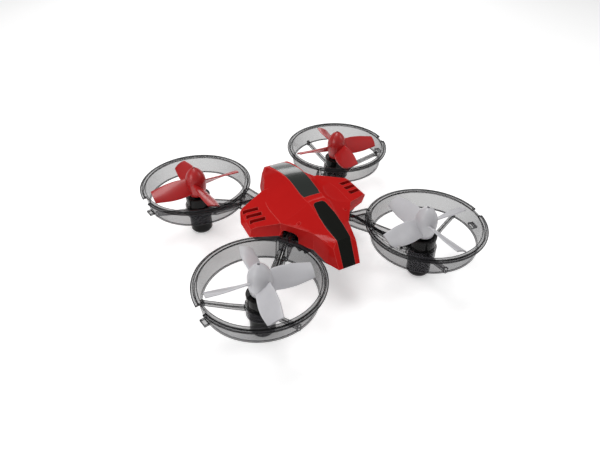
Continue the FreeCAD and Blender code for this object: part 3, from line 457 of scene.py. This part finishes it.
start_fresh()
bpy.ops.mesh.primitive_grid_add(x_subdivisions=COLUMNS, y_subdivisions=ROWS, size=MM,
                                location=((SPAN_FROM + SPAN_TO) / 2 * MM, 0, BLADE_Z * MM))
blades = edit("propeller_blades")
bpy.ops.object.mode_set(mode="OBJECT")
blades.scale.x = SPAN_TO - SPAN_FROM
bpy.ops.object.transform_apply(location=True, scale=True)
bpy.ops.object.mode_set(mode="EDIT")
for row in range(1, ROWS):
    across = row / ROWS - 0.5
    pick(lambda place: abs(place.y - across) < ROW_NEAR)
    bpy.ops.transform.translate(value=(0, 0, CAMBER * (1 - (2 * across) ** 2) * MM))
for column in range(COLUMNS + 1):
    distance = SPAN_FROM + (SPAN_TO - SPAN_FROM) * column / COLUMNS
    pick(lambda place: abs(place.x - distance) < COLUMN_NEAR)
    axis = (distance * MM, 0, BLADE_Z * MM)
    bpy.ops.transform.resize(value=(1, between(distance, 1), 1), center_override=axis)
    bpy.ops.transform.rotate(value=-math.radians(between(distance, 2)), orient_axis="X",
                             center_override=axis)
bpy.ops.object.mode_set(mode="OBJECT")
leading_top = max(corner.co.z for corner in blades.data.vertices if corner.co.y > 0) / MM
print("leading side of the blade rises to", round(leading_top, 2), "mm, middle", round(BLADE_Z, 2))
apply_modifier(blades, "SOLIDIFY", thickness=BLADE_THICK * MM, offset=0.0)
apply_modifier(blades, "SUBSURF", levels=2, render_levels=2)
bpy.ops.object.mode_set(mode="EDIT")
bpy.ops.mesh.select_all(action="SELECT")
for _ in range(3):
    bpy.ops.mesh.duplicate()
    bpy.ops.transform.rotate(value=math.radians(90), orient_axis="Z", center_override=(0, 0, 0))
finish_mesh(blades)

# %% [markdown]
# The blades reach a little too far.  A cylinder of the propeller's radius keeps what is inside
# it, which leaves round tips, and the blades are then joined to the spinner as one closed skin.

# %% Trim the tips and join blades to hub
TRIM_CORNERS, TRIM_HIGH = 192, 30
BLADE_SMOOTH = 40       # degrees below which neighbouring faces are shaded as one
start_fresh()
bpy.ops.mesh.primitive_cylinder_add(vertices=TRIM_CORNERS, radius=BLADE_R * MM, depth=TRIM_HIGH * MM,
                                    location=(0, 0, BLADE_Z * MM))
trim = bpy.context.active_object
start_fresh()
bpy.context.view_layer.objects.active = blades
blades.select_set(True)
apply_modifier(blades, "BOOLEAN", operation="INTERSECT", object=trim, solver="EXACT")
apply_modifier(blades, "BOOLEAN", operation="UNION", object=hub, solver="EXACT")
finish_mesh(blades, BLADE_SMOOTH)
for spare in (trim, hub):
    bpy.data.objects.remove(spare, do_unlink=True)

# %% [markdown]
# The front left and rear right propellers turn counter-clockwise and the other two are their
# mirror image.  Each corner gets its own copy, turned to where its blades stand at rest, and
# the copy rides the rotor of that corner in place of the plain one.

# %% One propeller for each corner
# azimuth of a blade at rest, and whether the rotor turns counter-clockwise
ROTORS = {"front_left": (-8.0, True), "front_right": (5.0, False),
          "rear_left": (4.0, False), "rear_right": (-8.0, True)}
for corner, (azimuth, counter_clockwise) in ROTORS.items():
    low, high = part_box("propeller_" + corner)
    middle_x, middle_y = (low.x + high.x) / 2, (low.y + high.y) / 2
    start_fresh()
    bpy.context.view_layer.objects.active = blades
    blades.select_set(True)
    bpy.ops.object.duplicate()
    blade_set = bpy.context.active_object
    blade_set.name = "spinning_propeller_" + corner
    blade_set.data.name = blade_set.name
    bpy.ops.object.mode_set(mode="EDIT")
    bpy.ops.mesh.select_all(action="SELECT")
    if not counter_clockwise:
        bpy.ops.transform.resize(value=(1, -1, 1), center_override=(0, 0, 0))
    bpy.ops.transform.rotate(value=-math.radians(azimuth), orient_axis="Z", center_override=(0, 0, 0))
    bpy.ops.transform.translate(value=(middle_x, middle_y, 0))
    finish_mesh(blade_set, BLADE_SMOOTH)
    blade_set.data.materials.clear()
    blade_set.data.materials.append(grey_nylon if corner.startswith("front") else red_nylon)
    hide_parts("propeller_" + corner)
    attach(blade_set, "rotor_" + corner)
bpy.data.objects.remove(blades, do_unlink=True)

# %% [markdown]
# ## Dark plates under the vents
# The three slots in each wing let the board's heat out.  Behind them lies a black ribbed plate
# that makes the slots look dark from outside: a painted shade, standing in for the shadow inside
# them.  It is a plate whose top is inset and raised into three low ribs, one under each bar
# between the slots.

# %% Vent shade plates
BAFFLE_LONG, BAFFLE_WIDE, BAFFLE_THICK, RIB_HIGH, RIB_INSET = 8.0, 9.6, 0.5, 0.35, 0.2
BAFFLE_X, BAFFLE_Y, BAFFLE_DROP = 19.3, 0.4, 11.3   # its middle, and how far below the canopy's top
BARS = 7                # strips across the baffle, of which every second inner one is a rib
canopy_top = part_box("canopy_shell")[1].z / MM
for side in (-1, 1):
    middle = Vector((side * BAFFLE_X, BAFFLE_Y, canopy_top - BAFFLE_DROP))
    start_fresh()
    bpy.ops.mesh.primitive_grid_add(x_subdivisions=1, y_subdivisions=BARS, size=MM)
    shade_plate = edit("vent_shade_plate_" + ("left" if side < 0 else "right"))
    bpy.ops.mesh.select_all(action="SELECT")
    bpy.ops.transform.resize(value=(BAFFLE_LONG, BAFFLE_WIDE, 1), center_override=(0, 0, 0))
    bpy.ops.mesh.extrude_region_move(TRANSFORM_OT_translate={"value": (0, 0, BAFFLE_THICK * MM)})
    for rib in range(1, BARS, 2):
        low_y, high_y = (BAFFLE_WIDE * (share / BARS - 0.5) for share in (rib, rib + 1))
        pick(lambda place: place.z > BAFFLE_THICK / 2 and low_y - NEAR < place.y < high_y + NEAR)
        bpy.ops.mesh.inset(thickness=RIB_INSET * MM)
        bpy.ops.mesh.extrude_region_move(TRANSFORM_OT_translate={"value": (0, 0, RIB_HIGH * MM)})
    bpy.ops.mesh.select_all(action="SELECT")
    bpy.ops.transform.translate(value=middle * MM)
    finish_mesh(shade_plate, smooth_angle=30)
    # Black, as painted shade for the inside of the slots.
    shade_plate.data.materials.append(black_abs)
    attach(shade_plate, "airframe")

# %% [markdown]
# ## Floor, light and camera
# The drone stands on a plain pale table, a translucent white sheet lit a little from inside.
# Its top lies a hair below the feet.

# %% Floor
FLOOR_SIZE_MM, FLOOR_DROP_MM = 16000, 0.2
start_fresh()
bpy.ops.mesh.primitive_plane_add(size=FLOOR_SIZE_MM * MM, location=(0, 0, -FLOOR_DROP_MM * MM))
floor = bpy.context.active_object
floor.name = "floor"
acrylic, tree, shader, place = start_material(
    "lit white acrylic table", Roughness=0.9, Emission_Color=(1, 1, 1, 1), Emission_Strength=0.44)
cloud = add_node(tree, "ShaderNodeTexNoise", {"Scale": 1 / (20 * MM), "Detail": 2.0}, {"Vector": place})
sheet = add_node(tree, "ShaderNodeMix", {"data_type": "RGBA", 6: linear("#FFFFFF"), 7: linear("#FCFCFC")},
                 {0: cloud["Fac"]})
tree.links.new(sheet[2], shader["Base Color"])
floor.data.materials.append(acrylic)
print("floor:", acrylic.name, "side", FLOOR_SIZE_MM / 1000, "m")

# %% [markdown]
# The studio is even.  A broad soft box hangs over the table, a second stands on the right to
# model the propellers, a third behind shines along the back, and a fourth fills the left.  A
# small card high on the left leaves one clear glint on the side of the nose.  Each light is
# placed and aimed in millimetres.

# %% Studio light
AMBIENT = 0.22
studio = bpy.data.worlds.new("studio")
studio.use_nodes = True
studio.node_tree.nodes["Background"].inputs["Color"].default_value = (1, 1, 1, 1)
studio.node_tree.nodes["Background"].inputs["Strength"].default_value = AMBIENT
bpy.context.scene.world = studio


def soft_box(name, place_mm, aim_mm, width_mm, height_mm, watts):
    """A rectangular area light that faces a point."""
    lamp = bpy.data.lights.new(name, "AREA")
    lamp.shape = "RECTANGLE"
    lamp.size = width_mm * MM
    lamp.size_y = height_mm * MM
    lamp.energy = watts
    box = bpy.data.objects.new(name, lamp)
    box.location = Vector(place_mm) * MM
    box.rotation_euler = (Vector(aim_mm) - Vector(place_mm)).to_track_quat("-Z", "Y").to_euler()
    bpy.context.collection.objects.link(box)
    print(name, "of", watts, "W")


soft_box("soft_box_over", (-40, 60, 480), (0, 0, 15), 300, 260, 1.1)
soft_box("soft_box_right", (320, -160, 260), (0, 0, 15), 160, 200, 0.2)
soft_box("soft_box_back", (170, 430, 130), (0, 0, 25), 300, 120, 0.3)
soft_box("soft_box_left", (-330, -60, 150), (0, 0, 25), 160, 160, 0.24)
soft_box("glint_card", (-289, 106, 350), (-5, -26, 25), 28, 24, 0.032)

# %% [markdown]
# The camera looks down on the drone from its front left, with a lens a little wider than normal.

# %% Camera
TARGET = Vector((-8.8, -13.1, 24.3))                # millimetres, like the distance
AZIMUTH, ELEVATION, DISTANCE = -27.0, 37.57, 195.6
ROLL = 0.206
FOCAL, SENSOR, CLIP_START = 31.87, 36.0, 5.0        # millimetres
around, up = math.radians(AZIMUTH), math.radians(ELEVATION)
away = Vector((math.sin(around) * math.cos(up), -math.cos(around) * math.cos(up), math.sin(up)))
lens = bpy.data.cameras.new("camera")
lens.lens = FOCAL
lens.sensor_width = SENSOR
lens.clip_start = CLIP_START * MM
camera = bpy.data.objects.new("camera", lens)
turn = (-away).to_track_quat("-Z", "Y").to_matrix().to_4x4()
camera.matrix_world = (Matrix.Translation((TARGET + away * DISTANCE) * MM) @ turn
                       @ Matrix.Rotation(math.radians(-ROLL), 4, "Z"))
bpy.context.collection.objects.link(camera)
bpy.context.scene.camera = camera
print("camera at", [round(c / MM, 1) for c in camera.location])

# %% [markdown]
# ## The view
# Colours are shown plainly, with no film curve.

# %% View transform
bpy.context.scene.view_settings.view_transform = "Standard"
